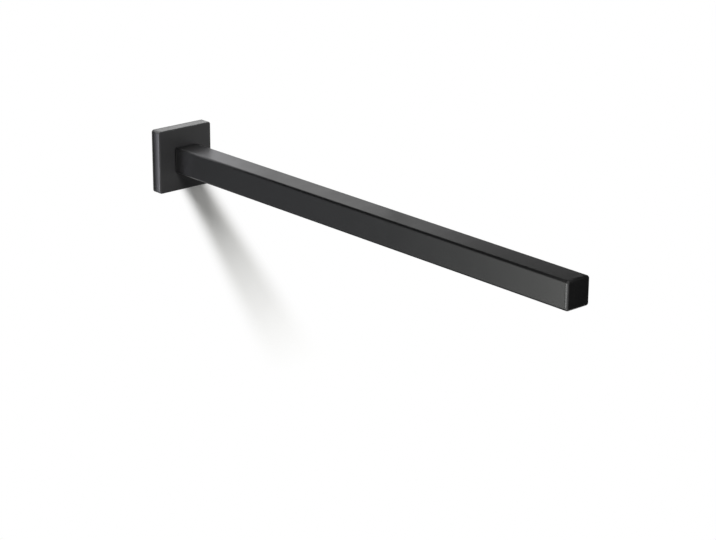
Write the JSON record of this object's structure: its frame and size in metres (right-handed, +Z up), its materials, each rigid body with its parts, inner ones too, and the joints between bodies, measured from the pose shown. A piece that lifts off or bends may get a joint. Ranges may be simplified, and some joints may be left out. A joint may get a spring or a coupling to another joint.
{
  "type": "towel bar",
  "caption": "Single-arm towel bar: a square tube stands straight out of a small square wall rose, which slides over a hidden bracket and is locked there by a set screw.",
  "frame": {"origin": "on the wall, where the arm's axis meets it, at the centre of the rose and of the wall screw holes", "axes": "+X to the right along the wall as seen from the room, +Y into the wall, +Z up; the arm stands out along -Y"},
  "size_m": [0.048, 0.41, 0.048],
  "materials": {
    "black_coating": "satin black powder coat with a fine grain",
    "plated_steel": "zinc-plated steel",
    "black_steel": "black oxide on hardened steel"
  },
  "bodies": {
    "wall_bracket": {"wall_bracket": "plated_steel"},
    "towel_arm": {"rose": "black_coating", "arm_tube": "black_coating", "arm_end_cap": "black_coating", "arm_root_block": "black_coating", "arm_bolt": "black_steel", "bolt_washer": "plated_steel", "lock_washer": "black_steel"},
    "set_screw": {"set_screw": "black_steel"}
  },
  "joints": [
    {"name": "arm_pull_off", "type": "slide", "parent": "wall_bracket", "child": "towel_arm", "axis": [0, -1, 0], "range_m": [0, 0.015]},
    {"name": "set_screw_travel", "type": "slide", "parent": "towel_arm", "child": "set_screw", "axis": [0, 0, -1], "range_m": [0, 0.003]}
  ]
}
